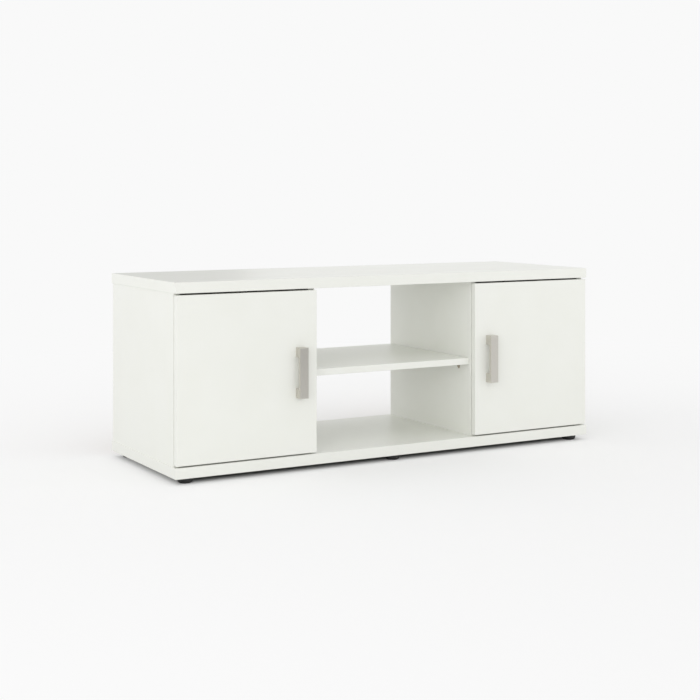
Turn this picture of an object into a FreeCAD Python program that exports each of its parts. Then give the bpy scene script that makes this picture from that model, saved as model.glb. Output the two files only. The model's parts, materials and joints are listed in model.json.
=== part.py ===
import FreeCAD, Part
import math
import os

# TV cabinet: a low board carcass with a cupboard at each end and an open bay between them.
# X runs to the right, Y to the back and Z up. The origin is on the floor, midway along the width
# and midway between the fronts of the handles and the back edges of the boards.
# All sizes are in millimetres. Pieces that come in pairs are drawn on the right and mirrored.

V = FreeCAD.Vector

# Carcass boards
cabinet_width = 1170.0
board_depth = 407.0
body_height = 440.0
cap_thickness = 25.0
side_thickness = 16.0
partition_thickness = 16.0
side_inset = 2.0
upright_back_inset = 3.0
bay_width = 450.0
edge_ease = 0.6
parallel_share = 0.99

# Doors
door_thickness = 16.0
door_back_gap = 1.6
door_side_reveal = 3.0
door_bay_reveal = 2.0
door_bottom_gap = 3.6
door_top_gap = 4.2

# Shelves
centre_shelf_thickness = 16.0
centre_shelf_height = 180.0
centre_shelf_setback = 6.4
inner_shelf_thickness = 16.0
inner_shelf_height = 180.0
inner_shelf_setback = 20.0
shelf_end_gap = 0.7
shelf_back_gap = 2.0

# Back panels behind the doors, held in grooves
back_thickness = 3.0
back_inset = 8.0
groove_depth = 6.0
groove_side_gap = 0.25
groove_edge_gap = 0.4

# Feet
foot_height = 14.0
foot_top_radius = 18.5
foot_base_radius = 14.5
foot_shoulder_radius = 17.5
foot_shoulder_height = 4.2
foot_rim_height = 3.5
foot_peg_radius = 4.0
foot_peg_length = 11.0
foot_end_distance = 36.0
foot_edge_distance = 30.0

# Bow handles and their screws
handle_length = 118.5
handle_width = 22.0
handle_reach = 22.0
handle_leg_height = 22.5
handle_bar_thickness = 7.0
handle_inner_round = 5.0
handle_edge_round = 1.2
handle_edge_distance = 44.5
handle_hole_depth = 13.0
handle_screw_radius = 2.0
handle_screw_grip = 10.0
handle_screw_head_radius = 4.0
handle_screw_head_height = 2.4

# Cup hinges, whose pins lie near the doors' outer edges
hinge_end_distance = 88.0
hinge_cup_radius = 17.5
hinge_cup_wall = 0.8
hinge_cup_skin = 3.2
hinge_flange_thickness = 0.6
hinge_wing_radius = 6.5
hinge_wing_offset = 5.5
hinge_corner_share = 0.6
hinge_wing_spacing = 48.0
hinge_pin_radius = 1.5
hinge_pin_length = 14.0
hinge_eye_radius = 2.5
hinge_ear_reach = 3.2
hinge_neck_width = 8.0
hinge_neck_thickness = 3.9
hinge_leg_thickness = 3.6
hinge_leg_overlap = 6.0
hinge_neck_round = 3.0
hinge_web_thickness = 1.4
hinge_arm_tail = 16.0
hinge_plate_distance = 37.0
hinge_plate_spacing = 32.0
hinge_plate_radius = 8.0
hinge_plate_base = 1.6
hinge_block_width = 10.4

# Flat sides on each fastener and its hole, which repeat and are mostly hidden
fastener_sides = 6

# Hinge screws
cup_screw_radius = 1.75
cup_screw_length = 10.0
plate_screw_radius = 2.5
plate_screw_length = 10.0
arm_screw_radius = 2.0
arm_screw_depth_share = 0.7
hinge_screw_head_height = 1.8
hinge_screw_head_share = 1.7

# Door bumpers
bumper_radius = 4.0
bumper_end_distance = 25.0

# Cam fittings that draw the top board down, with one dowel on each upright
fitting_edge_distance = 60.0
cam_radius = 7.5
cam_skin = 3.5
cam_distance = 24.0
cam_bore_radius = 3.6
bolt_head_radius = 3.1
bolt_head_length = 5.0
bolt_radius = 2.5
bolt_thread_length = 11.0
bolt_bore_radius = 3.2
dowel_radius = 4.0
dowel_board_length = 12.0
dowel_upright_length = 20.0

# Screws that hold the uprights to the bottom board from below
base_screw_radius = 3.2
base_screw_length = 50.0
base_screw_head_radius = 5.0
base_screw_head_height = 4.0

# Shelf supports
support_pin_radius = 2.5
support_pin_length = 8.0
support_pin_drop = 6.0
support_reach = 9.5
support_height = 15.0
support_width = 10.0
support_toe_width = 3.0
support_plate = 1.5
support_setback = 45.0

# Clearances
fit_gap = 0.1
running_gap = 0.05
swing_gap = 0.35
eye_wall_gap = 0.4
eye_floor_gap = 0.3
neck_side_gap = 0.4
leg_gap = 1.6
block_gap = 0.3
bumper_gap = 0.4
overrun = 1.0

# Planes of the carcass, and of the uprights and the back panel on the right
half_width = cabinet_width / 2
front_y = (handle_reach - board_depth) / 2
back_y = front_y + board_depth
upright_back = back_y - upright_back_inset
door_back = front_y + door_thickness
carcass_front = door_back + door_back_gap
body_top = foot_height + body_height
bay_floor = foot_height + cap_thickness
bay_ceiling = body_top - cap_thickness
side_outer = half_width - side_inset
side_inner = side_outer - side_thickness
bay_face = bay_width / 2
cupboard_face = bay_face + partition_thickness
front_feet_y = front_y + foot_edge_distance
rear_feet_y = back_y - foot_edge_distance
back_front_y = back_y - back_inset - back_thickness
back_rear_y = back_y - back_inset
groove_front_y = back_front_y - groove_side_gap
groove_rear_y = back_rear_y + groove_side_gap

# Each upright on the right: its face in the cupboard, the way into the wood and its thickness
side_place = (side_inner, 1, side_thickness)
partition_place = (cupboard_face, -1, partition_thickness)
fitting_rows = (carcass_front + fitting_edge_distance, upright_back - fitting_edge_distance)
dowel_y = (carcass_front + upright_back) / 2

# Shelves and their supports
centre_shelf_front = carcass_front + centre_shelf_setback
centre_shelf_back = upright_back
centre_shelf_under = bay_floor + centre_shelf_height
centre_support_rows = (centre_shelf_front + support_setback, centre_shelf_back - support_setback)
inner_shelf_front = carcass_front + inner_shelf_setback
inner_shelf_back = back_front_y - shelf_back_gap
inner_shelf_under = bay_floor + inner_shelf_height
inner_support_rows = (inner_shelf_front + support_setback, inner_shelf_back - support_setback)

# Planes of the right door
door_outer = half_width - door_side_reveal
door_inner = bay_face + door_bay_reveal
door_bottom = bay_floor + door_bottom_gap
door_top = bay_ceiling - door_top_gap
door_middle = (door_bottom + door_top) / 2
handle_x = door_inner + handle_edge_distance
handle_screw_spacing = handle_length - handle_leg_height

# The hinge pin is as deep in the door as its eye allows, and as far in from the door's outer edge as
# lets the door's rear corner swing past the carcass
hinge_cup_depth = door_thickness - hinge_cup_skin
pin_depth = hinge_cup_depth - hinge_cup_wall - hinge_eye_radius - eye_floor_gap
corner_reach = pin_depth + door_back_gap - swing_gap
pin_x = door_outer - edge_ease - math.sqrt(corner_reach ** 2 - pin_depth ** 2)
pin_y = door_back - pin_depth
hinge_heights = (door_bottom + hinge_end_distance, door_top - hinge_end_distance)

# Places on the hinge, measured from the pin: inward from the door's outer edge, and back from the pin
cup_inner_radius = hinge_cup_radius - hinge_cup_wall
cup_in = math.sqrt(cup_inner_radius ** 2 - (hinge_neck_width / 2) ** 2) - hinge_eye_radius - eye_wall_gap
cup_floor = -hinge_eye_radius - eye_floor_gap
wing_in = cup_in + hinge_wing_offset
neck_low = -hinge_eye_radius
neck_high = neck_low + hinge_neck_thickness
leg_near = pin_depth + hinge_flange_thickness + leg_gap
leg_far = leg_near + hinge_leg_thickness
web_under = leg_far - hinge_web_thickness
side_in = pin_x - side_inner
carcass_back = pin_depth + door_back_gap
channel_start = carcass_back + leg_gap
leg_end = channel_start + hinge_leg_overlap
plate_back = carcass_back + hinge_plate_distance
channel_end = plate_back + hinge_arm_tail
block_half = hinge_block_width / 2
channel_half = block_half + block_gap + hinge_web_thickness
arm_screw_depth = arm_screw_depth_share * (web_under - side_in)
ear_hole_radius = (hinge_pin_radius + running_gap) / math.cos(math.pi / fastener_sides)


def block(x0, x1, y0, y1, z0, z1):
    return Part.makeBox(x1 - x0, y1 - y0, z1 - z0, V(x0, y0, z0))


def rod(radius, length, base, direction):
    return Part.makeCylinder(radius, length, base, direction)


def peg(radius, length, base, direction):
    """A fastener's shank, or the hole for one, with its corners at radius."""
    across = V(0, 0, 1) if direction.z == 0 else V(1, 0, 0)
    upward = direction.cross(across)
    corners = []
    for side in range(fastener_sides + 1):
        turn = 2 * math.pi * side / fastener_sides
        corners.append(base + (across * math.cos(turn) + upward * math.sin(turn)) * radius)
    return Part.Face(Part.makePolygon(corners)).extrude(direction * length)


def mirrored(shape):
    return shape.mirror(V(0, 0, 0), V(1, 0, 0))


def both_sides(solids):
    return solids + [mirrored(solid) for solid in solids]


def raised(solids, height):
    """Copies of solids moved up by height."""
    copies = [solid.copy() for solid in solids]
    for copy in copies:
        copy.translate(V(0, 0, height))
    return copies


def runs_along(edge, axis):
    return abs(edge.tangentAt(edge.FirstParameter).dot(axis)) > parallel_share


def long_edges(board, thickness_axis):
    """The edges round both faces of a board, without the short ones across its corners."""
    return [edge for edge in board.Edges if not runs_along(edge, thickness_axis)]


def eased_front(board, front, length_axis):
    """A board with only its front edges eased, because the rest meet other boards."""
    edges = [
        edge
        for edge in board.Edges
        if runs_along(edge, length_axis) and abs(edge.CenterOfMass.y - front) < edge_ease
    ]
    return board.makeChamfer(edge_ease, edges)


def outline(corners, place):
    """A closed wire through corners (a, b, radius), where place turns a and b into a point."""
    edges = []
    last = None
    first = None
    for number, (a, b, radius) in enumerate(corners):
        here = V(a, b, 0)
        to_before = V(*corners[number - 1][:2], 0) - here
        to_after = V(*corners[(number + 1) % len(corners)][:2], 0) - here
        to_before.normalize()
        to_after.normalize()
        half_angle = to_before.getAngle(to_after) / 2
        start = here + to_before * (radius / math.tan(half_angle))
        end = here + to_after * (radius / math.tan(half_angle))
        if last is not None:
            edges.append(Part.makeLine(place(last.x, last.y), place(start.x, start.y)))
        if radius > 0:
            inward = to_before + to_after
            inward.normalize()
            middle = here + inward * (radius / math.sin(half_angle) - radius)
            bend = [place(point.x, point.y) for point in (start, middle, end)]
            edges.append(Part.Arc(*bend).toShape())
        first = start if first is None else first
        last = end
    edges.append(Part.makeLine(place(last.x, last.y), place(first.x, first.y)))
    return Part.Wire(edges)


def extruded(corners, place, travel):
    return Part.Face(outline(corners, place)).extrude(travel)


def screw(radius, length, head_radius, head_height, under_head, direction):
    """A screw that drives along direction, with the underside of its head at under_head."""
    shank = peg(radius, length, under_head, direction)
    head = peg(head_radius, head_height, under_head, direction * -1)
    return shank.fuse(head).removeSplitter()


def upright_middle(place):
    face, inward, thickness = place
    return face + inward * thickness / 2


def cam_pocket(place, y, gap):
    """The round lock's body, or with a gap the pocket for it, let into the cupboard face."""
    face, inward, thickness = place
    base = V(face, y, bay_ceiling - cam_distance)
    return peg(cam_radius + gap, thickness - cam_skin + gap, base, V(inward, 0, 0))


def cam_locks():
    locks = []
    for place in (side_place, partition_place):
        for y in fitting_rows:
            base = V(upright_middle(place), y, bay_ceiling - cam_distance - bolt_head_length)
            bore = peg(cam_bore_radius, cam_distance, base, V(0, 0, 1))
            locks.append(cam_pocket(place, y, 0).cut(bore))
    return both_sides(locks)


def cam_bolts():
    """Bolts screwed up into the top board, with their heads down in the locks."""
    bolts = []
    head_base = bay_ceiling - cam_distance - bolt_head_length / 2
    shank_length = bay_ceiling + bolt_thread_length - head_base
    for place in (side_place, partition_place):
        for y in fitting_rows:
            base = V(upright_middle(place), y, head_base)
            shank = peg(bolt_radius, shank_length, base, V(0, 0, 1))
            head = peg(bolt_head_radius, bolt_head_length, base, V(0, 0, 1))
            bolts.append(shank.fuse(head).removeSplitter())
    return both_sides(bolts)


def dowel_base(place):
    return V(upright_middle(place), dowel_y, bay_ceiling - dowel_upright_length)


def dowels():
    length = dowel_upright_length + dowel_board_length
    places = (side_place, partition_place)
    return both_sides([peg(dowel_radius, length, dowel_base(place), V(0, 0, 1)) for place in places])


def base_screw_head(place, y):
    return V(upright_middle(place), y, foot_height + base_screw_head_height)


def base_screws():
    screws = []
    for place in (side_place, partition_place):
        for y in fitting_rows:
            head = base_screw_head(place, y)
            screws.append(
                screw(base_screw_radius, base_screw_length, base_screw_head_radius,
                      base_screw_head_height, head, V(0, 0, 1))
            )
    return both_sides(screws)


def upright_fitting_cuts(place):
    """Pockets, bores and holes in one upright for its cams, bolts, dowel and screws."""
    cuts = []
    for y in fitting_rows:
        cuts.append(cam_pocket(place, y, fit_gap))
        bore_base = V(upright_middle(place), y, bay_ceiling - cam_distance)
        cuts.append(peg(bolt_bore_radius, cam_distance + overrun, bore_base, V(0, 0, 1)))
        screw_base = V(upright_middle(place), y, bay_floor - overrun)
        depth = base_screw_length + base_screw_head_height - cap_thickness
        hole_depth = depth + fit_gap + overrun
        cuts.append(peg(base_screw_radius + fit_gap, hole_depth, screw_base, V(0, 0, 1)))
    hole_base = dowel_base(place) - V(0, 0, fit_gap)
    cuts.append(peg(dowel_radius + fit_gap, dowel_upright_length + overrun, hole_base, V(0, 0, 1)))
    return cuts


def groove(x0, x1, z0, z1):
    return block(x0, x1, groove_front_y, groove_rear_y, z0, z1)


def upright_groove(place):
    face, inward, thickness = place
    ends = sorted((face - inward * overrun, face + inward * groove_depth))
    return groove(ends[0], ends[1], bay_floor - overrun, bay_ceiling + overrun)


def support_hole(face, inward, y, shelf_under):
    base = V(face - inward * overrun, y, shelf_under - support_pin_drop)
    depth = support_pin_length + fit_gap + overrun
    return peg(support_pin_radius + fit_gap, depth, base, V(inward, 0, 0))


def support(face, inward, y, shelf_under):
    """A shelf support: a pin in the upright, a back plate, a rest for the shelf and a gusset."""
    def side_view(out, height):
        return V(face - inward * out, y - support_plate / 2, shelf_under + height)

    def back_view(along, height):
        return V(face, y + along, shelf_under + height)

    half = support_width / 2
    toe = support_toe_width / 2
    back_corners = [(-half, 0, 0), (half, 0, 0), (half, -support_pin_drop, 0),
                    (toe, -support_height, 0), (-toe, -support_height, 0),
                    (-half, -support_pin_drop, 0)]
    back_plate = extruded(back_corners, back_view, V(-inward * support_plate, 0, 0))
    ends = sorted((face, face - inward * support_reach))
    rest = block(ends[0], ends[1], y - half, y + half, shelf_under - support_plate, shelf_under)
    gusset_corners = [(0, 0, 0), (support_reach, 0, 0), (support_reach, -support_plate, 0),
                      (support_plate, -support_height, 0), (0, -support_height, 0)]
    gusset = extruded(gusset_corners, side_view, V(0, support_plate, 0))
    pin_base = V(face, y, shelf_under - support_pin_drop)
    pin = peg(support_pin_radius, support_pin_length, pin_base, V(inward, 0, 0))
    return back_plate.multiFuse([rest, gusset, pin]).removeSplitter()


def centre_shelf_supports():
    supports = [support(bay_face, 1, y, centre_shelf_under) for y in centre_support_rows]
    return both_sides(supports)


def inner_shelf_supports():
    """The four supports in the right cupboard."""
    supports = []
    for face, inward in ((side_inner, 1), (cupboard_face, -1)):
        for y in inner_support_rows:
            supports.append(support(face, inward, y, inner_shelf_under))
    return supports


def side_panel():
    panel = block(side_inner, side_outer, carcass_front, upright_back, bay_floor, bay_ceiling)
    panel = eased_front(panel, carcass_front, V(0, 0, 1))
    cuts = upright_fitting_cuts(side_place)
    cuts.append(upright_groove(side_place))
    for y in inner_support_rows:
        cuts.append(support_hole(side_inner, 1, y, inner_shelf_under))
    return [panel.cut(cuts + at_hinges(plate_screw_holes()))]


def partition():
    panel = block(bay_face, cupboard_face, carcass_front, upright_back, bay_floor, bay_ceiling)
    panel = eased_front(panel, carcass_front, V(0, 0, 1))
    cuts = upright_fitting_cuts(partition_place)
    cuts.append(upright_groove(partition_place))
    for y in inner_support_rows:
        cuts.append(support_hole(cupboard_face, -1, y, inner_shelf_under))
    for y in centre_support_rows:
        cuts.append(support_hole(bay_face, 1, y, centre_shelf_under))
    return [panel.cut(cuts)]


def cap_grooves(z0, z1):
    """The stopped grooves for both back panels in a top or bottom board."""
    return both_sides([groove(cupboard_face - groove_depth, side_inner + groove_depth, z0, z1)])


def top_panel():
    panel = block(-half_width, half_width, front_y, back_y, bay_ceiling, body_top)
    panel = panel.makeChamfer(edge_ease, long_edges(panel, V(0, 0, 1)))
    holes = []
    for place in (side_place, partition_place):
        for y in fitting_rows:
            base = V(upright_middle(place), y, bay_ceiling - overrun)
            depth = bolt_thread_length + fit_gap + overrun
            holes.append(peg(bolt_radius + fit_gap, depth, base, V(0, 0, 1)))
        base = V(upright_middle(place), dowel_y, bay_ceiling - overrun)
        depth = dowel_board_length + fit_gap + overrun
        holes.append(peg(dowel_radius + fit_gap, depth, base, V(0, 0, 1)))
    return [panel.cut(both_sides(holes) + cap_grooves(bay_ceiling - overrun, bay_ceiling + groove_depth))]


def foot_centres(y):
    """One foot near each end and one in the middle."""
    end_x = half_width - foot_end_distance
    return [V(x, y, 0) for x in (-end_x, 0, end_x)]


def bottom_panel():
    panel = block(-half_width, half_width, front_y, back_y, foot_height, bay_floor)
    panel = panel.makeChamfer(edge_ease, long_edges(panel, V(0, 0, 1)))
    holes = []
    for place in (side_place, partition_place):
        for y in fitting_rows:
            head = base_screw_head(place, y)
            holes.append(peg(base_screw_radius + fit_gap, cap_thickness, head, V(0, 0, 1)))
            mouth = base_screw_head_height + overrun
            holes.append(peg(base_screw_head_radius + fit_gap, mouth, head, V(0, 0, -1)))
    holes = both_sides(holes)
    for centre in foot_centres(front_feet_y) + foot_centres(rear_feet_y):
        base = centre + V(0, 0, foot_height - overrun)
        depth = foot_peg_length + fit_gap + overrun
        holes.append(peg(foot_peg_radius + fit_gap, depth, base, V(0, 0, 1)))
    return [panel.cut(holes + cap_grooves(bay_floor - groove_depth, bay_floor + overrun))]


def back_panel():
    edge = groove_depth - groove_edge_gap
    return [block(cupboard_face - edge, side_inner + edge, back_front_y, back_rear_y,
                  bay_floor - edge, bay_ceiling + edge)]


def shelf(x0, x1, front, back, under, thickness):
    board = block(x0, x1, front, back, under, under + thickness)
    return [eased_front(board, front, V(1, 0, 0))]


def centre_shelf():
    end = bay_face - shelf_end_gap
    return shelf(-end, end, centre_shelf_front, centre_shelf_back,
                 centre_shelf_under, centre_shelf_thickness)


def inner_shelf():
    return shelf(cupboard_face + shelf_end_gap, side_inner - shelf_end_gap, inner_shelf_front,
                 inner_shelf_back, inner_shelf_under, inner_shelf_thickness)


def feet(y):
    """A row of glides, each a bowl with a flat base, a shoulder and a rim, and a peg in the bottom board."""
    shoulder = V(0, 0, foot_shoulder_height)
    rim_base = V(0, 0, foot_height - foot_rim_height)
    bowl = Part.makeCone(foot_base_radius, foot_shoulder_radius, foot_shoulder_height)
    wall = Part.makeCone(foot_shoulder_radius, foot_top_radius, rim_base.z - foot_shoulder_height, shoulder)
    rim = rod(foot_top_radius, foot_rim_height, rim_base, V(0, 0, 1))
    stud = peg(foot_peg_radius, foot_peg_length, V(0, 0, foot_height), V(0, 0, 1))
    glide = bowl.multiFuse([wall, rim, stud]).removeSplitter()
    row = []
    for centre in foot_centres(y):
        row.append(glide.copy())
        row[-1].translate(centre)
    return row


def at_hinges(solids):
    """Solids drawn round the hinge's middle, at each hinge of the right door."""
    return [copy for height in hinge_heights for copy in raised(solids, height)]


def hinge_point(inward, back, up):
    return V(pin_x - inward, pin_y + back, up)


def hinge_block(in0, in1, back0, back1, up0, up1):
    return block(pin_x - in1, pin_x - in0, pin_y + back0, pin_y + back1, up0, up1)


def winged_plate(radius, spacing, place, travel):
    """A tall plate, two radii wide, whose corners are cut back round a screw hole at each end."""
    half = spacing / 2 + radius
    cut = hinge_corner_share * radius
    right = [(radius - cut, -half), (radius, cut - half), (radius, half - cut), (radius - cut, half)]
    left = [(-across, up) for across, up in reversed(right)]
    return extruded([(across, up, 0) for across, up in right + left], place, travel)


def hinge_cup():
    """The cup that is let into the door, with wings for its screws and two ears for the pin."""
    def wing_place(across, up):
        return hinge_point(wing_in + across, pin_depth, up)

    floor_outside = cup_floor - hinge_cup_wall
    length = pin_depth + hinge_flange_thickness - floor_outside
    body = rod(hinge_cup_radius, length, hinge_point(cup_in, floor_outside, 0), V(0, 1, 0))
    wings = winged_plate(hinge_wing_radius, hinge_wing_spacing, wing_place, V(0, hinge_flange_thickness, 0))
    hollow = rod(cup_inner_radius, length, hinge_point(cup_in, cup_floor, 0), V(0, 1, 0))
    ear_top = -cup_floor
    ear_bore = rod(cup_inner_radius, ear_top - cup_floor, hinge_point(cup_in, cup_floor, 0), V(0, 1, 0))
    ear_start = hinge_neck_width / 2 + neck_side_gap
    outside = cup_in - hinge_cup_radius
    ears = []
    for low, high in ((-hinge_cup_radius, -ear_start), (ear_start, hinge_cup_radius)):
        ears.append(ear_bore.common(hinge_block(outside, hinge_ear_reach, cup_floor, ear_top, low, high)))
    half = hinge_pin_length / 2 + running_gap
    pin_hole = peg(ear_hole_radius, 2 * half, hinge_point(0, 0, -half), V(0, 0, 1))
    cuts = [pin_hole]
    for side in (-1, 1):
        base = hinge_point(wing_in, pin_depth - overrun, side * hinge_wing_spacing / 2)
        cuts.append(peg(cup_screw_radius + fit_gap, hinge_flange_thickness + 2 * overrun, base, V(0, 1, 0)))
    return [body.fuse(wings).cut(hollow).multiFuse(ears).removeSplitter().cut(cuts)]


def hinge_pin():
    return [rod(hinge_pin_radius, hinge_pin_length, hinge_point(0, 0, -hinge_pin_length / 2), V(0, 0, 1))]


def hinge_arm():
    """The goose-neck: an eye on the pin, a neck out of the cup and a channel over the plate."""
    half_neck = hinge_neck_width / 2

    def flat(inward, back):
        return hinge_point(inward, back, -half_neck)

    inner_round = hinge_neck_round / 2
    corners = [
        (0, neck_low, 0),
        (leg_far, neck_low, hinge_neck_round),
        (leg_far, leg_end, 0),
        (leg_near, leg_end, 0),
        (leg_near, neck_high, inner_round),
        (0, neck_high, 0),
    ]
    neck = extruded(corners, flat, V(0, 0, hinge_neck_width))
    eye = rod(hinge_eye_radius, hinge_neck_width, flat(0, 0), V(0, 0, 1))
    channel = hinge_block(side_in + hinge_plate_base + block_gap, leg_far, channel_start, channel_end,
                          -channel_half, channel_half)
    inside_half = channel_half - hinge_web_thickness
    inside = hinge_block(side_in, web_under, channel_start - overrun, channel_end + overrun,
                         -inside_half, inside_half)
    arm = channel.cut(inside).multiFuse([neck, eye]).removeSplitter()
    bore = rod(hinge_pin_radius + running_gap, hinge_neck_width + 2 * overrun,
               hinge_point(0, 0, -half_neck - overrun), V(0, 0, 1))
    screw_hole = peg(arm_screw_radius + fit_gap, hinge_web_thickness + 2 * overrun,
                     hinge_point(leg_far + overrun, plate_back, 0), V(1, 0, 0))
    return [arm.cut([bore, screw_hole])]


def hinge_plate():
    """The mounting plate: a base with two wings and the block that the arm is screwed to."""
    def base_place(across, up):
        return hinge_point(side_in, plate_back + across, up)

    base = winged_plate(hinge_plate_radius, hinge_plate_spacing, base_place, V(-hinge_plate_base, 0, 0))
    body = hinge_block(side_in, web_under, leg_end + block_gap, channel_end, -block_half, block_half)
    cuts = [peg(arm_screw_radius + fit_gap, arm_screw_depth + fit_gap + overrun,
                hinge_point(web_under + overrun, plate_back, 0), V(1, 0, 0))]
    for side in (-1, 1):
        mouth_in = side_in + hinge_plate_base + overrun
        mouth = hinge_point(mouth_in, plate_back, side * hinge_plate_spacing / 2)
        cuts.append(peg(plate_screw_radius + fit_gap, hinge_plate_base + 2 * overrun, mouth, V(1, 0, 0)))
    return [base.fuse(body).removeSplitter().cut(cuts)]


def hinge_arm_screw():
    length = hinge_web_thickness + arm_screw_depth
    head = hinge_point(leg_far, plate_back, 0)
    return [screw(arm_screw_radius, length, arm_screw_radius * hinge_screw_head_share,
                  hinge_screw_head_height, head, V(1, 0, 0))]


def hinge_plate_screws():
    screws = []
    for side in (-1, 1):
        head = hinge_point(side_in + hinge_plate_base, plate_back, side * hinge_plate_spacing / 2)
        screws.append(screw(plate_screw_radius, hinge_plate_base + plate_screw_length,
                            plate_screw_radius * hinge_screw_head_share, hinge_screw_head_height,
                            head, V(1, 0, 0)))
    return screws


def plate_screw_holes():
    holes = []
    for side in (-1, 1):
        mouth = hinge_point(side_in + overrun, plate_back, side * hinge_plate_spacing / 2)
        depth = plate_screw_length + fit_gap + overrun
        holes.append(peg(plate_screw_radius + fit_gap, depth, mouth, V(1, 0, 0)))
    return holes


def hinge_cup_screws():
    screws = []
    for side in (-1, 1):
        head = hinge_point(wing_in, pin_depth + hinge_flange_thickness, side * hinge_wing_spacing / 2)
        screws.append(screw(cup_screw_radius, hinge_flange_thickness + cup_screw_length,
                            cup_screw_radius * hinge_screw_head_share, hinge_screw_head_height,
                            head, V(0, -1, 0)))
    return screws


def cup_cuts():
    """The pocket for one cup in the door's back, and the holes for its screws."""
    depth = hinge_cup_depth + fit_gap + overrun
    centre = hinge_point(cup_in, pin_depth + overrun, 0)
    cuts = [rod(hinge_cup_radius + fit_gap, depth, centre, V(0, -1, 0))]
    for side in (-1, 1):
        mouth = hinge_point(wing_in, pin_depth + overrun, side * hinge_wing_spacing / 2)
        hole_depth = cup_screw_length + fit_gap + overrun
        cuts.append(peg(cup_screw_radius + fit_gap, hole_depth, mouth, V(0, -1, 0)))
    return cuts


def handle_screw_heights():
    return [door_middle + side * handle_screw_spacing / 2 for side in (-1, 1)]


def door():
    panel = block(door_inner, door_outer, front_y, door_back, door_bottom, door_top)
    panel = panel.makeChamfer(edge_ease, long_edges(panel, V(0, 1, 0)))
    cuts = at_hinges(cup_cuts())
    for height in handle_screw_heights():
        base = V(handle_x, front_y - overrun, height)
        cuts.append(peg(handle_screw_radius + fit_gap, door_thickness + 2 * overrun, base, V(0, 1, 0)))
    return [panel.cut(cuts)]


def handle():
    """A square bow: two legs and a flat bar, with a rounded corner where each leg meets the bar."""
    left = handle_x - handle_width / 2

    def side_view(reach, height):
        return V(left, front_y - reach, door_middle + height)

    half = handle_length / 2
    gap = half - handle_leg_height
    bar_back = handle_reach - handle_bar_thickness
    corners = [
        (0, -half, 0),
        (handle_reach, -half, handle_edge_round),
        (handle_reach, half, handle_edge_round),
        (0, half, 0),
        (0, gap, 0),
        (bar_back, gap, handle_inner_round),
        (bar_back, -gap, handle_inner_round),
        (0, -gap, 0),
    ]
    bow = extruded(corners, side_view, V(handle_width, 0, 0))
    holes = []
    for height in handle_screw_heights():
        base = V(handle_x, front_y + overrun, height)
        holes.append(peg(handle_screw_radius + fit_gap, handle_hole_depth + overrun, base, V(0, -1, 0)))
    return [bow.cut(holes)]


def handle_screws():
    length = door_thickness + handle_screw_grip
    screws = []
    for height in handle_screw_heights():
        head = V(handle_x, door_back, height)
        screws.append(screw(handle_screw_radius, length, handle_screw_head_radius,
                            handle_screw_head_height, head, V(0, -1, 0)))
    return screws


def door_bumpers():
    x = (door_inner + cupboard_face) / 2
    thickness = door_back_gap - bumper_gap
    heights = (door_bottom + bumper_end_distance, door_top - bumper_end_distance)
    return [peg(bumper_radius, thickness, V(x, door_back, height), V(0, 1, 0)) for height in heights]


def write(node, solids):
    shape = solids[0] if len(solids) == 1 else Part.makeCompound(solids)
    shape.exportStep("parts/" + node + ".step")
    box = shape.BoundBox
    print(node, len(shape.Solids), "solids", shape.isValid(), "volume", round(shape.Volume))
    return box


def write_pair(name, solids):
    """The right-hand piece and its mirror image on the left, each in a node of its own."""
    boxes = [write("right_" + name, solids)]
    boxes.append(write("left_" + name, [mirrored(solid) for solid in solids]))
    return boxes


def main():
    os.makedirs("parts", exist_ok=True)
    boxes = [
        write("top_panel", top_panel()),
        write("bottom_panel", bottom_panel()),
        write("centre_shelf", centre_shelf()),
        write("cam_locks", cam_locks()),
        write("cam_bolts", cam_bolts()),
        write("wood_dowels", dowels()),
        write("base_screws", base_screws()),
        write("centre_shelf_supports", centre_shelf_supports()),
    ]
    boxes += write_pair("side_panel", side_panel())
    boxes += write_pair("partition", partition())
    boxes += write_pair("back_panel", back_panel())
    boxes += write_pair("inner_shelf", inner_shelf())
    boxes += write_pair("inner_shelf_supports", inner_shelf_supports())
    boxes += write_pair("door", door())
    boxes += write_pair("handle", handle())
    boxes += write_pair("handle_screws", handle_screws())
    boxes += write_pair("door_bumpers", door_bumpers())
    boxes += write_pair("hinge_cups", at_hinges(hinge_cup()))
    boxes += write_pair("hinge_pins", at_hinges(hinge_pin()))
    boxes += write_pair("hinge_arms", at_hinges(hinge_arm()))
    boxes += write_pair("hinge_plates", at_hinges(hinge_plate()))
    boxes += write_pair("hinge_cup_screws", at_hinges(hinge_cup_screws()))
    boxes += write_pair("hinge_plate_screws", at_hinges(hinge_plate_screws()))
    boxes += write_pair("hinge_arm_screws", at_hinges(hinge_arm_screw()))
    boxes.append(write("front_feet", feet(front_feet_y)))
    boxes.append(write("rear_feet", feet(rear_feet_y)))
    whole = boxes[0]
    for box in boxes[1:]:
        whole.add(box)
    print("whole", whole)
    print("hinge axis", round(pin_x, 4), round(pin_y, 4))


main()
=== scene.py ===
import bmesh
import bpy
import json
import math
from mathutils import Matrix, Vector

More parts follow.
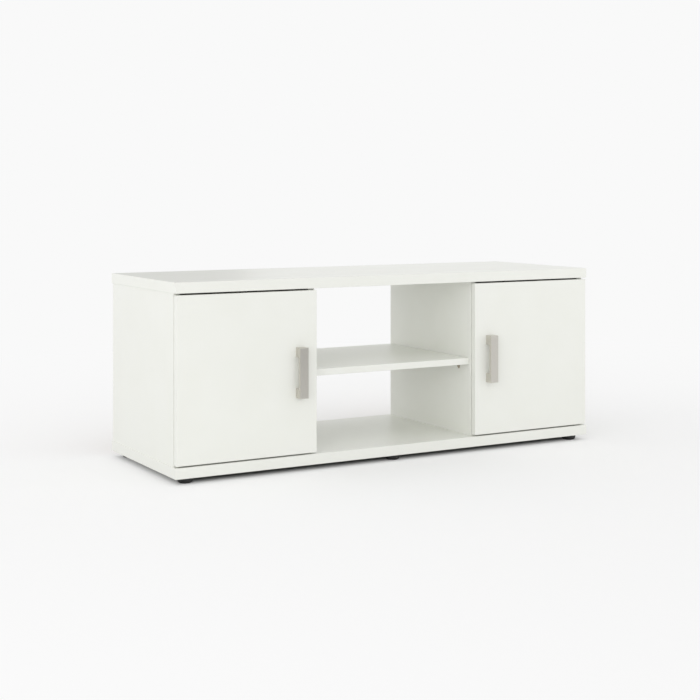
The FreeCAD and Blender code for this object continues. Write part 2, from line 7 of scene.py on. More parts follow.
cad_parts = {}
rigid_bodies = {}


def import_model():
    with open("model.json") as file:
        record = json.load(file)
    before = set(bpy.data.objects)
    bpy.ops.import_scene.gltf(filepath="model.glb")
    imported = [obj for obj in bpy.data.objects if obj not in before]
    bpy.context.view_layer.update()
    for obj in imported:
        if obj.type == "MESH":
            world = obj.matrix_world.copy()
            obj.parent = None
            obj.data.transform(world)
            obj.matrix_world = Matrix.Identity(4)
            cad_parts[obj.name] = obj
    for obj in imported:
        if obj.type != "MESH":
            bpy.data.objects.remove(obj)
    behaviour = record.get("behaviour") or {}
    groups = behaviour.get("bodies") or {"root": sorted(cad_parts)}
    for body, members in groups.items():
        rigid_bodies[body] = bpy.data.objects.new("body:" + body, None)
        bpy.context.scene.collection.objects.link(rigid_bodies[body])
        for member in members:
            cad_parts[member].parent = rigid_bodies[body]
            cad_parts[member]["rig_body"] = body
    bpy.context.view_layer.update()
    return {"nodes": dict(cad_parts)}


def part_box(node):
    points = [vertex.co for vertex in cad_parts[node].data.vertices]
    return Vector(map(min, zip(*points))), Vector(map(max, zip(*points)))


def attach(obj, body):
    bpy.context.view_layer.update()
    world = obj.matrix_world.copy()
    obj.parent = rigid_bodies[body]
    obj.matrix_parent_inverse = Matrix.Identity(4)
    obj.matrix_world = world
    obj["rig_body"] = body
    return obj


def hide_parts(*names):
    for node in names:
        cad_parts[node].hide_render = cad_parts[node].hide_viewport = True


# A white television cabinet in a pale studio. X runs to its right, Y to its back and Z up, in metres.

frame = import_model()

MM = 0.001
SIDES = ("left", "right")
UP = Vector((0, 0, 1))
BACK = Vector((0, 1, 0))
WHITE = (1, 1, 1, 1)
UPRIGHT = math.radians(90)
SAME_POINT = 0.001 * MM


# Camera

# The lens is level, and the picture is shifted down to take in the cabinet.
CAMERA_PLACE = (-1.78426, -3.06115, 0.659)
CAMERA_HEADING = math.radians(-29.87)
LENS = 71.21
SENSOR_WIDTH = 36.0
DOWNWARD_SHIFT = -0.22764


def make_camera():
    data = bpy.data.cameras.new("camera")
    data.lens = LENS
    data.sensor_width = SENSOR_WIDTH
    data.shift_y = DOWNWARD_SHIFT
    camera = bpy.data.objects.new("camera", data)
    camera.location = CAMERA_PLACE
    camera.rotation_euler = (UPRIGHT, 0, CAMERA_HEADING)
    bpy.context.scene.collection.objects.link(camera)
    bpy.context.scene.camera = camera


# Materials

# Most of a noise's values lie in this range
NOISE_LOW = 0.25
NOISE_HIGH = 0.75
EVEN = (1.0, 1.0, 1.0)
METAL = {"Metallic": 1.0}


def linear(colour):
    """The linear colour of an sRGB hex value, with alpha."""
    channels = [int(colour[place:place + 2], 16) / 255 for place in (1, 3, 5)]
    return [c / 12.92 if c <= 0.04045 else ((c + 0.055) / 1.055) ** 2.4 for c in channels] + [1.0]


def add_node(tree, kind, inputs=None, **settings):
    """Adds a node to tree. An input is a value, the output that feeds it, or a node whose first
    output does."""
    node = tree.nodes.new(kind)
    for name, value in settings.items():
        setattr(node, name, value)
    for name, value in (inputs or {}).items():
        if isinstance(value, bpy.types.Node):
            value = value.outputs[0]
        if isinstance(value, bpy.types.NodeSocket):
            tree.links.new(value, node.inputs[name])
        else:
            node.inputs[name].default_value = value
    return node


def new_tree(owner):
    """The emptied node tree of a material or a world."""
    owner.use_nodes = True
    owner.node_tree.nodes.clear()
    return owner.node_tree


def new_material(name):
    """A material with its tree and the object's own coordinates."""
    material = bpy.data.materials.new(name)
    tree = new_tree(material)
    return material, tree, add_node(tree, "ShaderNodeTexCoord").outputs["Object"]


def close_material(tree, inputs):
    """Ends a tree in a shader with these inputs."""
    shader = add_node(tree, "ShaderNodeBsdfPrincipled", inputs)
    add_node(tree, "ShaderNodeOutputMaterial", {"Surface": shader})


def spots(tree, place, grain, detail=2.0, stretch=EVEN):
    """A noise whose spots are about grain metres across, and longer along an axis whose stretch is
    less than one."""
    stretched = add_node(tree, "ShaderNodeVectorMath", {0: place, 1: stretch}, operation="MULTIPLY")
    return add_node(tree, "ShaderNodeTexNoise", {"Vector": stretched, "Scale": 1 / grain, "Detail": detail})


def tint(tree, pattern, first, second):
    """A colour that goes from one hex value to the other over the middle of a noise."""
    share = add_node(tree, "ShaderNodeMapRange", {
        "Value": pattern, "From Min": NOISE_LOW, "From Max": NOISE_HIGH,
    })
    ends = {0: share, 6: linear(first), 7: linear(second)}
    return add_node(tree, "ShaderNodeMix", ends, data_type="RGBA").outputs[2]


def new_finish(name, colours, roughness, grain, depth=None, detail=2.0, stretch=EVEN, cloud=None,
               settings=None):
    """A material whose roughness varies between two values and its height by depth metres, over a
    noise of the given grain. Its colour varies over the same noise, or over spots cloud metres
    across. The settings are the shader's own, the same all over."""
    material, tree, place = new_material(name)
    fine = spots(tree, place, grain, detail, stretch)
    coarse = spots(tree, place, cloud) if cloud else fine
    smooth, rough = roughness
    inputs = dict(settings or {})
    inputs["Base Color"] = tint(tree, coarse, *colours)
    inputs["Roughness"] = add_node(tree, "ShaderNodeMapRange", {
        "Value": fine, "From Min": NOISE_LOW, "From Max": NOISE_HIGH, "To Min": smooth, "To Max": rough,
    })
    if depth:
        relief = {"Height": fine, "Distance": depth, "Strength": 1.0}
        inputs["Normal"] = add_node(tree, "ShaderNodeBump", relief)
    close_material(tree, inputs)
    return material


def white_melamine():
    """Melamine-faced chipboard, hot-pressed against a satin plate: an even, faintly warm white
    with a soft sheen, broken up by a fine pearl, which is drawn coarser than it is so that it shows."""
    return new_finish("white_melamine", ("#F0F1EB", "#EEEFE8"), roughness=(0.30, 0.40),
                      grain=1.6 * MM, depth=0.02 * MM, detail=3.0, cloud=90 * MM)


def white_hardboard():
    """Thin pressed fibreboard. Its cupboard side is lacquered white by roller. Its rear is left raw:
    a dull pale brown, felted from short, darker fibres."""
    material, tree, place = new_material("white_hardboard")
    fibre = spots(tree, place, 2.5 * MM, detail=6.0)
    strands = spots(tree, place, 1.8 * MM, detail=8.0, stretch=(0.4, 1.0, 1.0))
    lacquer = tint(tree, fibre, "#E9E9E4", "#E2E1DB")
    raw = tint(tree, strands, "#B08C66", "#94714E")
    low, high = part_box("left_back_panel")
    depth = add_node(tree, "ShaderNodeSeparateXYZ", {"Vector": place}).outputs["Y"]
    behind = add_node(tree, "ShaderNodeMath", {0: depth, 1: (low.y + high.y) / 2}, operation="GREATER_THAN")
    colour = add_node(tree, "ShaderNodeMix", {0: behind, 6: lacquer, 7: raw}, data_type="RGBA")
    close_material(tree, {
        "Base Color": colour.outputs[2],
        "Roughness": add_node(tree, "ShaderNodeMapRange", {"Value": behind, "To Min": 0.55, "To Max": 0.75}),
        "Normal": add_node(tree, "ShaderNodeBump", {"Height": fibre, "Distance": 0.05 * MM, "Strength": 1.0}),
    })
    return material


def satin_nickel():
    """Zinc die casting, brushed and satin-nickel plated: a warm grey metal whose fine upright
    scratches draw its highlights out sideways. They are drawn wider than they are, so that they show."""
    return new_finish("satin_nickel", ("#DAD7D0", "#CFCCC4"), roughness=(0.38, 0.50),
                      grain=0.5 * MM, depth=0.01 * MM, detail=4.0, stretch=(1.0, 1.0, 0.03), settings=METAL)


def nickel_plate():
    """Pressed steel, bright nickel plated: clean grey reflections over the slight ripple of the press."""
    return new_finish("nickel_plated_steel", ("#E3E0DA", "#DAD7D0"), roughness=(0.24, 0.30),
                      grain=6 * MM, depth=0.01 * MM, settings=METAL)


def dark_steel():
    """Pressed steel, thinly nickel plated over a dull base: a light, brownish grey with a low shine."""
    return new_finish("dark_nickel_plated_steel", ("#C8C0B3", "#B7AFA2"), roughness=(0.40, 0.52),
                      grain=3 * MM, depth=0.02 * MM, settings=METAL)


def cast_zinc():
    """Zinc, die cast and tumbled: a cool, dull grey with small pits."""
    return new_finish("cast_zinc", ("#B4B5B5", "#9E9F9F"), roughness=(0.40, 0.55),
                      grain=0.8 * MM, depth=0.04 * MM, detail=4.0, settings=METAL)


def black_plastic():
    """Polyethylene, moulded in an eroded tool: near black, with a dull sheen on its rounded wall. The
    tool's grain is drawn coarser than it is, so that it shows."""
    return new_finish("black_polyethylene", ("#1C1C1B", "#161615"), roughness=(0.42, 0.55),
                      grain=0.6 * MM, depth=0.03 * MM, detail=3.0)


def clear_polymer():
    """Soft clear polymer, cast in drops: a milky dot with a wet, smooth surface."""
    return new_finish("clear_polymer", ("#E4E6E4", "#D6D9D7"), roughness=(0.10, 0.18),
                      grain=2 * MM, settings={"Transmission Weight": 0.6, "IOR": 1.5})


def beech():
    """Beech, turned and fluted: pale brown, with short darker flecks along its length."""
    return new_finish("beech", ("#D2AE80", "#B98F60"), roughness=(0.55, 0.68),
                      grain=0.7 * MM, depth=0.05 * MM, detail=4.0, stretch=(1.0, 1.0, 0.15))


# Mesh tools

SHARP_ANGLE = math.radians(32)


def new_piece(name, mesh, material, node):
    """Puts a finished bmesh into the scene as a piece that stands for a CAD node, on its body."""
    bmesh.ops.recalc_face_normals(mesh, faces=mesh.faces)
    for face in mesh.faces:
        face.smooth = True
    for edge in mesh.edges:
        edge.smooth = edge.calc_face_angle(0) < SHARP_ANGLE
    data = bpy.data.meshes.new(name)
    mesh.to_mesh(data)
    mesh.free()
    data.materials.append(material)
    piece = bpy.data.objects.new(name, data)
    bpy.context.scene.collection.objects.link(piece)
    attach(piece, frame["nodes"][node]["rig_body"])
    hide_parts(node)


def solids_of(node):
    """The lowest and highest corner of each separate solid in a CAD node."""
    mesh = bmesh.new()
    mesh.from_mesh(frame["nodes"][node].data)
    bmesh.ops.remove_doubles(mesh, verts=mesh.verts, dist=SAME_POINT)
    unread = set(mesh.verts)
    boxes = []
    while unread:
        found = {unread.pop()}
        newest = list(found)
        while newest:
            nearby = {edge.other_vert(vert) for vert in newest for edge in vert.link_edges} & unread
            unread -= nearby
            found |= nearby
            newest = list(nearby)
        points = [vert.co for vert in found]
        low = Vector([min(point[axis] for point in points) for axis in range(3)])
        high = Vector([max(point[axis] for point in points) for axis in range(3)])
        boxes.append((low, high))
    mesh.free()
    return sorted(boxes, key=lambda box: tuple(round(value, 5) for value in box[0]))


def facing(base, direction):
    """The matrix that puts a piece drawn upright from the origin at base, pointing along direction."""
    return Matrix.Translation(base) @ direction.to_track_quat("Z", "Y").to_matrix().to_4x4()


def quarter_turn(steps, first=0):
    """The angles from zero to a right angle in even steps, from the one numbered first."""
    return [math.pi / 2 * step / steps for step in range(first, steps + 1)]


def revolve(mesh, profile, place, steps, flute=0):
    """Adds a surface turned from (radius, height) pairs, fluted by flute, and returns its last ring."""
    rings = []
    for radius, height in profile:
        ring = []
        for step in range(steps if radius else 1):
            angle = 2 * math.pi * step / steps
            out = radius - flute * (step % 2)
            point = Vector((out * math.cos(angle), out * math.sin(angle), height))
            ring.append(mesh.verts.new(place @ point))
        rings.append(ring)
    for lower, upper in zip(rings, rings[1:]):
        for step in range(steps):
            after = (step + 1) % steps
            corners = [lower[step % len(lower)], lower[after % len(lower)],
                       upper[after % len(upper)], upper[step % len(upper)]]
            mesh.faces.new(list(dict.fromkeys(corners)))
    return rings[-1]


# Feet

FOOT_RIM = 3.5 * MM
FOOT_BASE_RADIUS = 14.5 * MM
FOOT_EDGE = 0.8 * MM
FOOT_STEPS = 48
BOWL_STEPS = 10


def foot_profile(radius, height):
    """A flat base, a wall that bulges like a bowl and an upright rim below the board."""
    bowl_top = height - FOOT_RIM
    profile = [(0, 0), (FOOT_BASE_RADIUS - FOOT_EDGE, 0)]
    for angle in quarter_turn(BOWL_STEPS):
        out = FOOT_BASE_RADIUS + (radius - FOOT_BASE_RADIUS) * math.sin(angle)
        profile.append((out, FOOT_EDGE + (bowl_top - FOOT_EDGE) * (1 - math.cos(angle))))
    return profile + [(radius, height), (0, height)]


def make_feet(material):
    board_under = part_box("bottom_panel")[0].z
    for row in ("front", "rear"):
        node = row + "_feet"
        mesh = bmesh.new()
        for low, high in solids_of(node):
            centre = (low + high) / 2
            place = facing(Vector((centre.x, centre.y, 0)), UP)
            revolve(mesh, foot_profile((high.x - low.x) / 2, board_under), place, FOOT_STEPS)
        new_piece(row + "_glides", mesh, material, node)


# Fasteners

FASTENER_STEPS = 24

# Radians that each head is turned on from the last, so that their recesses don't line up
TURN_BETWEEN_HEADS = 1.1

# Screws: the point's and the thread's inner radius as shares of the shank's, the flat middle of the
# crown as a share of the head, and what differs between them
POINT_SHARE = 0.4
THREAD_ROOT = 0.8
CROWN_FLAT = 0.66
CROWN_STEPS = 5
CUP_SCREW = {"shank": 1.75 * MM, "head_height": 1.8 * MM, "crown": 1.1 * MM, "pitch": 1.4 * MM}
PLATE_SCREW = {"shank": 2.5 * MM, "head_height": 1.8 * MM, "crown": 1.1 * MM, "pitch": 1.8 * MM}
ARM_SCREW = {"shank": 2.0 * MM, "head_height": 1.8 * MM, "crown": 0.5 * MM, "pitch": 0.7 * MM}
HANDLE_SCREW = {"shank": 2.0 * MM, "head_height": 2.4 * MM, "crown": 1.5 * MM, "pitch": 0.7 * MM}
BASE_SCREW = {"shank": 3.2 * MM, "head_height": 4.0 * MM, "crown": 0.5 * MM, "pitch": 3.0 * MM}

# Recesses: the width of their floor as a share of the opening's, the depth of its tip as a share of
# their own, and sizes as shares of the head's radius
RECESS_DRAFT = 0.82
RECESS_POINT = 1.25
CROSS_HALF_WIDTH = 0.13
SCREW_CROSS_REACH = 0.52
HINGE_CROSS_DEPTH = 1.2 * MM
HANDLE_CROSS_DEPTH = 1.6 * MM
SOCKET_REACH = 0.46
SOCKET_DEPTH = 2.5 * MM
CAM_CROSS_REACH = 0.62
CAM_CROSS_DEPTH = 2.5 * MM
ARROW_REACH = 0.14
ARROW_PLACE = 0.82
ARROW_DEPTH = 0.4 * MM

# Cam locks, each with a lip round its face, and their bolts
CAM_LIP_WIDTH = 0.3 * MM
CAM_LIP_HEIGHT = 0.2 * MM
CAM_LIP_BEVEL_WIDTH = 0.15 * MM
CAM_LIP_BEVEL_HEIGHT = 0.08 * MM
BOLT_HEAD_LENGTH = 5 * MM
BOLT_HEAD_TIP = 0.8
BOLT_HEAD_BEVEL = 0.6 * MM
BOLT_SHOULDER_START = 1.6 * MM
BOLT_SHOULDER_END = 0.8 * MM
BOLT_NECK_RADIUS = 1.6 * MM
BOLT_RADIUS = 2.5 * MM
BOLT_COLLAR_END = 11 * MM
BOLT_THREAD_START = 10 * MM
BOLT_THREAD_END = 1 * MM
BOLT_PITCH = 2 * MM

BUMPER_STEPS = 9
BUMPER_FULLNESS = 0.7
DOWEL_STEPS = 48
DOWEL_BEVEL = 1.2 * MM
DOWEL_FLUTE = 0.3 * MM


def into_cupboard(centre):
    """The sideways direction from a point towards the middle of its cupboard."""
    side = "left" if centre.x < 0 else "right"
    low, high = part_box(side + "_inner_shelf")
    return Vector((math.copysign(1, (low.x + high.x) / 2 - centre.x), 0, 0))


def always(direction):
    """The same direction from every point."""
    return lambda centre: direction


def cross(reach, half_width):
    """The outline of a cross-shaped recess."""
    outline = []
    for quarter in range(4):
        turn = Matrix.Rotation(math.pi / 2 * quarter, 2)
        for corner in ((reach, -half_width), (reach, half_width), (half_width, half_width)):
            outline.append(turn @ Vector(corner))
    return outline


def polygon(radius, sides, centre=(0, 0)):
    """The outline of a recess with even sides, such as a hexagon socket or an arrowhead."""
    outline = []
    for side in range(sides):
        angle = 2 * math.pi * side / sides
        outline.append(Vector(centre) + radius * Vector((math.cos(angle), math.sin(angle))))
    return outline


def loop_edges(mesh, ring):
    return [mesh.edges.get(pair) or mesh.edges.new(pair) for pair in zip(ring, ring[1:] + ring[:1])]


def close_head(mesh, ring, place, height, recesses):
    """Closes a head's last ring with a flat face, into which each (outline, depth) is sunk."""
    edges = loop_edges(mesh, ring)
    for outline, depth in recesses:
        middle = sum(outline, Vector((0, 0))) / len(outline)
        top = [mesh.verts.new(place @ Vector((*point, height))) for point in outline]
        drawn_in = [middle + (point - middle) * RECESS_DRAFT for point in outline]
        low = [mesh.verts.new(place @ Vector((*point, height - depth))) for point in drawn_in]
        tip = mesh.verts.new(place @ Vector((*middle, height - depth * RECESS_POINT)))
        for number in range(len(outline)):
            after = (number + 1) % len(outline)
            mesh.faces.new([top[number], top[after], low[after], low[number]])
            mesh.faces.new([low[number], low[after], tip])
        edges += loop_edges(mesh, top)
    bmesh.ops.triangle_fill(mesh, edges=edges, use_beauty=True)


def thread(radius, start, end, pitch):
    """The (radius, height) pairs of the crests and roots along a shank."""
    count = max(int(abs(end - start) / pitch * 2), 1)
    root = radius * THREAD_ROOT
    return [(root if turn % 2 else radius, start + (end - start) * turn / count) for turn in range(count + 1)]


def screw(shank, head_height, crown, pitch):
    """The profile of a pointed, threaded shank under a head whose crown rounds off over its outer part."""
    def profile(length, head):
        under = -head_height
        outline = [(0, -length), (shank * POINT_SHARE, -length + shank)]
        outline += thread(shank, -length + 2 * shank, under - shank, pitch)
        outline += [(shank, under), (head, under), (head, -crown)]
        flat = head * CROWN_FLAT
        for angle in quarter_turn(CROWN_STEPS, first=1):
            outline.append((flat + (head - flat) * math.cos(angle), -crown * (1 - math.sin(angle))))
        return outline
    return profile


def screw_cross(depth):
    return lambda radius: [(cross(radius * SCREW_CROSS_REACH, radius * CROSS_HALF_WIDTH), depth)]


def socket(radius):
    return [(polygon(radius * SOCKET_REACH, sides=6), SOCKET_DEPTH)]


def cam(length, radius):
    """A round lock whose thin lip covers the rim of its pocket."""
    lip = radius + CAM_LIP_WIDTH
    return [(0, -length), (radius, -length), (radius, -CAM_LIP_HEIGHT), (lip, -CAM_LIP_HEIGHT),
            (lip, -CAM_LIP_BEVEL_HEIGHT), (lip - CAM_LIP_BEVEL_WIDTH, 0)]


def cam_recesses(radius):
    """A cross for the screwdriver, and an arrow that shows where the bolt enters."""
    return [(cross(radius * CAM_CROSS_REACH, radius * CROSS_HALF_WIDTH), CAM_CROSS_DEPTH),
            (polygon(radius * ARROW_REACH, sides=3, centre=(radius * ARROW_PLACE, 0)), ARROW_DEPTH)]


def cam_bolt(length, head):
    """A bolt with a round head in the lock, a neck, and a coarse thread in the top board."""
    head_top = -length + BOLT_HEAD_LENGTH
    outline = [(0, -length), (head * BOLT_HEAD_TIP, -length), (head, -length + BOLT_HEAD_BEVEL),
               (head, head_top - BOLT_SHOULDER_START), (BOLT_NECK_RADIUS, head_top - BOLT_SHOULDER_END),
               (BOLT_NECK_RADIUS, head_top), (BOLT_RADIUS, head_top), (BOLT_RADIUS, -BOLT_COLLAR_END)]
    outline += thread(BOLT_RADIUS, -BOLT_THREAD_START, -BOLT_THREAD_END, BOLT_PITCH)
    return outline + [(0, 0)]


def bumper(length, radius):
    """A cast drop, steep at its rim and nearly flat in the middle."""
    outline = [(0, -length)]
    for angle in quarter_turn(BUMPER_STEPS)[:-1]:
        outline.append((radius * math.cos(angle) ** BUMPER_FULLNESS, -length * (1 - math.sin(angle))))
    return outline + [(0, 0)]


def fasten(name, node, material, outward, profile, recesses=None, proud=0):
    """Draws a fastener for each solid of a node, with its head turned outward, as one piece.
    profile takes the solid's length and its outer radius, and recesses take the radius. The head
    stands proud of the solid's end."""
    mesh = bmesh.new()
    for number, (low, high) in enumerate(solids_of(node)):
        centre = (low + high) / 2
        direction = outward(centre)
        along = [abs(share) > 0.5 for share in direction]
        length = sum(size for size, on_axis in zip(high - low, along) if on_axis)
        radius = max(size for size, on_axis in zip(high - low, along) if not on_axis) / 2
        face = centre + direction * (length / 2 + proud)
        place = facing(face, direction) @ Matrix.Rotation(TURN_BETWEEN_HEADS * number, 4, "Z")
        outline = profile(length + proud, radius)
        ring = revolve(mesh, outline, place, FASTENER_STEPS)
        if recesses:
            close_head(mesh, ring, place, outline[-1][1], recesses(radius))
    new_piece(name, mesh, material, node)


def make_fasteners(nickel, zinc, clear):
    hinge_cross = screw_cross(HINGE_CROSS_DEPTH)
    for side in SIDES:
        fasten(side + "_cup_screws", side + "_hinge_cup_screws", nickel,
               always(BACK), screw(**CUP_SCREW), hinge_cross)
        fasten(side + "_plate_screws", side + "_hinge_plate_screws", nickel,
               into_cupboard, screw(**PLATE_SCREW), hinge_cross)
        fasten(side + "_arm_screws", side + "_hinge_arm_screws", nickel,
               into_cupboard, screw(**ARM_SCREW), hinge_cross)
        fasten(side + "_bow_screws", side + "_handle_screws", nickel,
               always(BACK), screw(**HANDLE_SCREW), screw_cross(HANDLE_CROSS_DEPTH))
        fasten(side + "_bumper_drops", side + "_door_bumpers", clear, always(BACK), bumper)
    fasten("upright_screws", "base_screws", nickel, always(-UP), screw(**BASE_SCREW), socket)
    fasten("cams", "cam_locks", zinc, into_cupboard, cam, cam_recesses, proud=CAM_LIP_HEIGHT)
    fasten("cam_dowels", "cam_bolts", nickel, always(UP), cam_bolt)


def make_dowels(material):
    """Fluted dowels with bevelled ends."""
    mesh = bmesh.new()
    for low, high in solids_of("wood_dowels"):
        centre = (low + high) / 2
        radius = (high.x - low.x) / 2
        length = high.z - low.z
        profile = [(0, 0), (radius - DOWEL_BEVEL, 0), (radius, DOWEL_BEVEL), (radius, length - DOWEL_BEVEL),
                   (radius - DOWEL_BEVEL, length), (0, length)]
        revolve(mesh, profile, facing(Vector((centre.x, centre.y, low.z)), UP), DOWEL_STEPS, DOWEL_FLUTE)
    new_piece("fluted_dowels", mesh, material, "wood_dowels")


# Studio

BACKDROP = "#F9F9F9"

# Light from all round, and what the left and the front add
EVEN_LIGHT = 0.74
LEFT_LIGHT = 0.30
FRONT_LIGHT = 0.40

# The floor is painted dark under the cabinet, as painted shade. Outside, where it shows, a glow of
# painted light makes it paler than the light that it gathers, more so towards the back. Next to the
# cabinet its colour is painted darker, as painted shade, and it gets more painted light. Far out it
# fades into the backdrop.
FLOOR_SIZE = 40.0
FLOOR_FADE_MIDDLE = (0.2, -0.45, 0)
FLOOR_FADE_START = 0.7
FLOOR_FADE_END = 2.8
# Painted shade: the floor's colour under the cabinet, from SHADE_START inside its edge to SHADE_END
PAINTED_SHADE_FLOOR = "#A0A0A0"
CLEAR_FLOOR = "#EFEFEF"
SHADE_START = -50 * MM
SHADE_END = 0
# Painted light: the floor's glow where it shows, stronger from the front towards the back
PAINTED_LIGHT_FRONT = 0.128
PAINTED_LIGHT_BACK = 0.155
PAINTED_LIGHT_BACK_START = 0.5
# Painted shade and painted light on a strip next to the cabinet, out to APRON_END
APRON_END = 120 * MM
APRON_PAINTED_SHADE = 0.90
APRON_PAINTED_LIGHT = 0.075

# Lamps: place, width and height, and power
LAMP_TARGET = (0, 0, 0.25)
LAMPS = {
    "right_softbox": ((3.2, -2.6, 1.6), (1.6, 1.4), 2.5),
    "left_softbox": ((-3.0, -2.5, 1.05), (1.8, 1.6), 13),
}

# Glowing cards that paint reflections: the middle's place, width and height, and strength
PAINTED_REFLECTIONS = {
    "back_dark_reflection_card": ((0.75, 4.2, 1.2), (1.9, 2.6), 0.38),
    "front_dark_reflection_card": ((0.37, -1.15, 0.45), (1.05, 0.9), 0.36),
    "front_bright_reflection_card": ((3.2, -3.6, 0.9), (1.3, 2.6), 1.8),
    "back_bright_reflection_card": ((-3.5, 4.0, 1.2), (1.9, 2.6), 1.8),
}


def background_rays(tree):
    """One for rays that show the studio itself, which are those from the camera and those that a
    glossy or clear surface sends on, and zero for rays that gather light."""
    rays = add_node(tree, "ShaderNodeLightPath").outputs
    shown = rays["Is Camera Ray"]
    for kind in ("Is Glossy Ray", "Is Transmission Ray"):
        shown = add_node(tree, "ShaderNodeMath", {0: shown, 1: rays[kind]}, operation="MAXIMUM")
    return shown


def make_world():
    """Even studio light, stronger from the left and the front, behind a white backdrop."""
    world = bpy.data.worlds.new("studio")
    bpy.context.scene.world = world
    tree = new_tree(world)
    direction = add_node(tree, "ShaderNodeTexCoord").outputs["Generated"]
    axes = add_node(tree, "ShaderNodeSeparateXYZ", {"Vector": direction}).outputs
    strength = EVEN_LIGHT
    for axis, most in (("X", LEFT_LIGHT), ("Y", FRONT_LIGHT)):
        more = add_node(tree, "ShaderNodeMapRange", {
            "Value": axes[axis], "From Min": -1.0, "From Max": 0.0, "To Min": most, "To Max": 0.0,
        })
        strength = add_node(tree, "ShaderNodeMath", {0: strength, 1: more}, operation="ADD")
    light = add_node(tree, "ShaderNodeBackground", {"Color": WHITE, "Strength": strength})
    backdrop = add_node(tree, "ShaderNodeBackground", {"Color": linear(BACKDROP), "Strength": 1.0})
    surface = add_node(tree, "ShaderNodeMixShader", {0: background_rays(tree), 1: light, 2: backdrop})
    add_node(tree, "ShaderNodeOutputWorld", {"Surface": surface})


def new_sheet(name, width, height):
    """A flat piece of the stage round the origin, with a material whose tree is still empty."""
    mesh = bmesh.new()
    size = Matrix.Diagonal((width, height, 1, 1))
    bmesh.ops.create_grid(mesh, x_segments=1, y_segments=1, size=0.5, matrix=size)
    data = bpy.data.meshes.new(name)
    mesh.to_mesh(data)
    mesh.free()
    material = bpy.data.materials.new("studio_" + name)
    new_tree(material)
    data.materials.append(material)
    sheet = bpy.data.objects.new(name, data)
    bpy.context.scene.collection.objects.link(sheet)
    return sheet


def beyond_footprint(tree, place):
    """How far a point on the floor lies outside the cabinet, or less than zero under it."""
    low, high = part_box("bottom_panel")
    offset = add_node(tree, "ShaderNodeVectorMath", {0: place, 1: (low + high) / 2}, operation="SUBTRACT")
    axes = add_node(tree, "ShaderNodeSeparateXYZ", {"Vector": offset}).outputs
    past = []
    for axis, width in (("X", high.x - low.x), ("Y", high.y - low.y)):
        aside = add_node(tree, "ShaderNodeMath", {0: axes[axis]}, operation="ABSOLUTE")
        past.append(add_node(tree, "ShaderNodeMath", {0: aside, 1: width / 2}, operation="SUBTRACT"))
    return add_node(tree, "ShaderNodeMath", {0: past[0], 1: past[1]}, operation="MAXIMUM")


def make_floor():
    """A pale floor that keeps the cabinet's shadow, with painted shade under and next to the cabinet and
    painted light round it, and fades into the backdrop further out.
    """
    tree = new_sheet("floor", FLOOR_SIZE, FLOOR_SIZE).active_material.node_tree
    place = add_node(tree, "ShaderNodeTexCoord").outputs["Object"]
    seen = background_rays(tree)
    beyond = beyond_footprint(tree, place)
    # Painted shade: the floor's colour darkens under the cabinet
    clear = add_node(tree, "ShaderNodeMapRange", {
        "Value": beyond, "From Min": SHADE_START, "From Max": SHADE_END,
    }, interpolation_type="SMOOTHSTEP")

    ends = {0: clear, 6: linear(PAINTED_SHADE_FLOOR), 7: linear(CLEAR_FLOOR)}
    painted_shade_tone = add_node(tree, "ShaderNodeMix", ends, data_type="RGBA").outputs[2]
    # Painted shade: the colour darkens towards the cabinet over a strip next to it
    apron_shade = add_node(tree, "ShaderNodeMapRange", {
        "Value": beyond, "From Min": SHADE_END, "From Max": APRON_END, "To Min": APRON_PAINTED_SHADE, "To Max": 1.0,
    })
    painted_shade_tone = add_node(tree, "ShaderNodeVectorMath", {0: painted_shade_tone, "Scale": apron_shade}, operation="SCALE")
    paper = add_node(tree, "ShaderNodeBsdfDiffuse", {"Color": painted_shade_tone})

    # Painted light: a glow where the floor shows, stronger towards the back, more next to the cabinet and
    # fading out under it
    depth = add_node(tree, "ShaderNodeSeparateXYZ", {"Vector": place}).outputs["Y"]
    painted_light_strength = add_node(tree, "ShaderNodeMapRange", {
        "Value": depth, "From Min": 0.0, "From Max": PAINTED_LIGHT_BACK_START,
        "To Min": PAINTED_LIGHT_FRONT, "To Max": PAINTED_LIGHT_BACK,
    })
    # Painted light: more glow towards the cabinet over the same strip
    apron_light = add_node(tree, "ShaderNodeMapRange", {
        "Value": beyond, "From Min": SHADE_END, "From Max": APRON_END, "To Min": APRON_PAINTED_LIGHT, "To Max": 0.0,
    })
    painted_light_strength = add_node(tree, "ShaderNodeMath", {0: painted_light_strength, 1: apron_light}, operation="ADD")
    for share in (clear, seen):
        painted_light_strength = add_node(tree, "ShaderNodeMath", {0: painted_light_strength, 1: share}, operation="MULTIPLY")
    painted_glow = add_node(tree, "ShaderNodeEmission", {"Color": WHITE, "Strength": painted_light_strength})
    near = add_node(tree, "ShaderNodeAddShader", {0: paper, 1: painted_glow})

    distance = add_node(tree, "ShaderNodeVectorMath", {0: place, 1: FLOOR_FADE_MIDDLE}, operation="DISTANCE")
    away = add_node(tree, "ShaderNodeMapRange", {
        "Value": distance.outputs["Value"], "From Min": FLOOR_FADE_START, "From Max": FLOOR_FADE_END,
    }, interpolation_type="SMOOTHSTEP")
    share = add_node(tree, "ShaderNodeMath", {0: seen, 1: away}, operation="MULTIPLY")
    far = add_node(tree, "ShaderNodeEmission", {"Color": linear(BACKDROP), "Strength": 1.0})
    surface = add_node(tree, "ShaderNodeMixShader", {0: share, 1: near, 2: far})
    add_node(tree, "ShaderNodeOutputMaterial", {"Surface": surface})


def make_painted_reflection(name, place, size, strength):
    """An upright glowing card that paints a reflection: it shows only in reflections, and casts no light on
    matt surfaces and no shadow.
    """
    card = new_sheet(name, *size)
    card.location = place
    card.rotation_euler = (UPRIGHT, 0, 0)
    for kind in ("camera", "diffuse", "transmission", "volume_scatter", "shadow"):
        setattr(card, "visible_" + kind, False)
    tree = card.active_material.node_tree
    face = add_node(tree, "ShaderNodeEmission", {"Color": WHITE, "Strength": strength})
    add_node(tree, "ShaderNodeOutputMaterial", {"Surface": face})


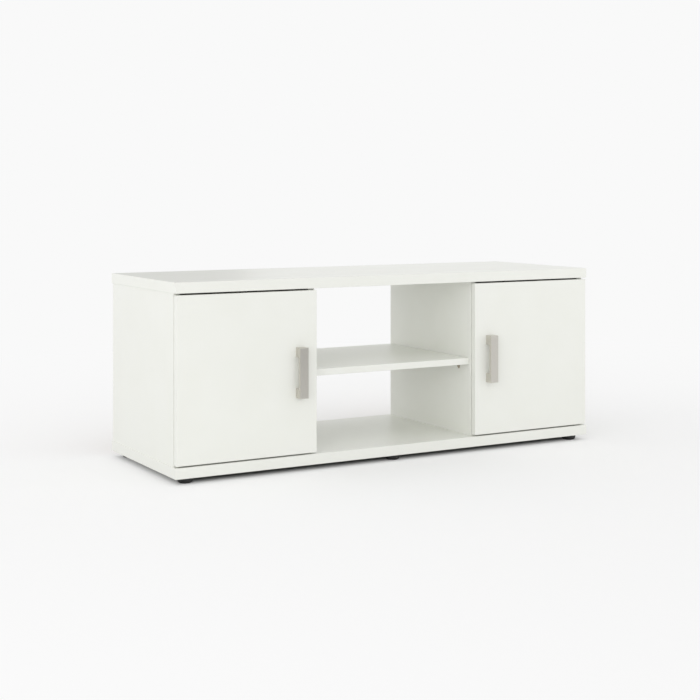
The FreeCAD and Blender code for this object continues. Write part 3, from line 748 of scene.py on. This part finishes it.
def make_lamp(name, place, size, power):
    data = bpy.data.lights.new(name, "AREA")
    data.shape = "RECTANGLE"
    data.size, data.size_y = size
    data.energy = power
    lamp = bpy.data.objects.new(name, data)
    lamp.location = place
    lamp.rotation_euler = (Vector(LAMP_TARGET) - Vector(place)).to_track_quat("-Z", "Y").to_euler()
    bpy.context.scene.collection.objects.link(lamp)


# Assembly

BOARDS = ("top_panel", "bottom_panel", "centre_shelf")
SIDE_BOARDS = ("side_panel", "partition", "inner_shelf", "door")
HINGE_STEEL = ("hinge_cups", "hinge_pins", "hinge_arms", "hinge_plates")
HANDLE_EDGE = 0.6 * MM
EDGE_ANGLE = math.radians(40)
EDGE_SEGMENTS = 3


def on_sides(*names):
    return [side + "_" + name for side in SIDES for name in names]


def finish_nodes(material, names):
    """Gives CAD nodes their finish."""
    for name in names:
        materials = frame["nodes"][name].data.materials
        materials.clear()
        materials.append(material)


def round_edges(names, width):
    """Rounds the sharp edges of CAD nodes."""
    for name in names:
        node = frame["nodes"][name]
        weld = node.modifiers.new("weld", "WELD")
        weld.merge_threshold = SAME_POINT
        bevel = node.modifiers.new("edges", "BEVEL")
        bevel.width = width
        bevel.segments = EDGE_SEGMENTS
        bevel.limit_method = "ANGLE"
        bevel.angle_limit = EDGE_ANGLE
        bevel.harden_normals = True


make_camera()
finish_nodes(white_melamine(), [*BOARDS, *on_sides(*SIDE_BOARDS)])
nickel = nickel_plate()
finish_nodes(white_hardboard(), on_sides("back_panel"))
finish_nodes(satin_nickel(), on_sides("handle"))
finish_nodes(nickel, on_sides(*HINGE_STEEL))
finish_nodes(dark_steel(), ["centre_shelf_supports", *on_sides("inner_shelf_supports")])
round_edges(on_sides("handle"), HANDLE_EDGE)
make_feet(black_plastic())
make_fasteners(nickel, cast_zinc(), clear_polymer())
make_dowels(beech())
make_world()
make_floor()
# Glowing cards that paint dark and bright reflections
for name, (place, size, strength) in PAINTED_REFLECTIONS.items():
    make_painted_reflection(name, place, size, strength)
for name, (place, size, power) in LAMPS.items():
    make_lamp(name, place, size, power)

bpy.context.scene.view_settings.view_transform = "Standard"
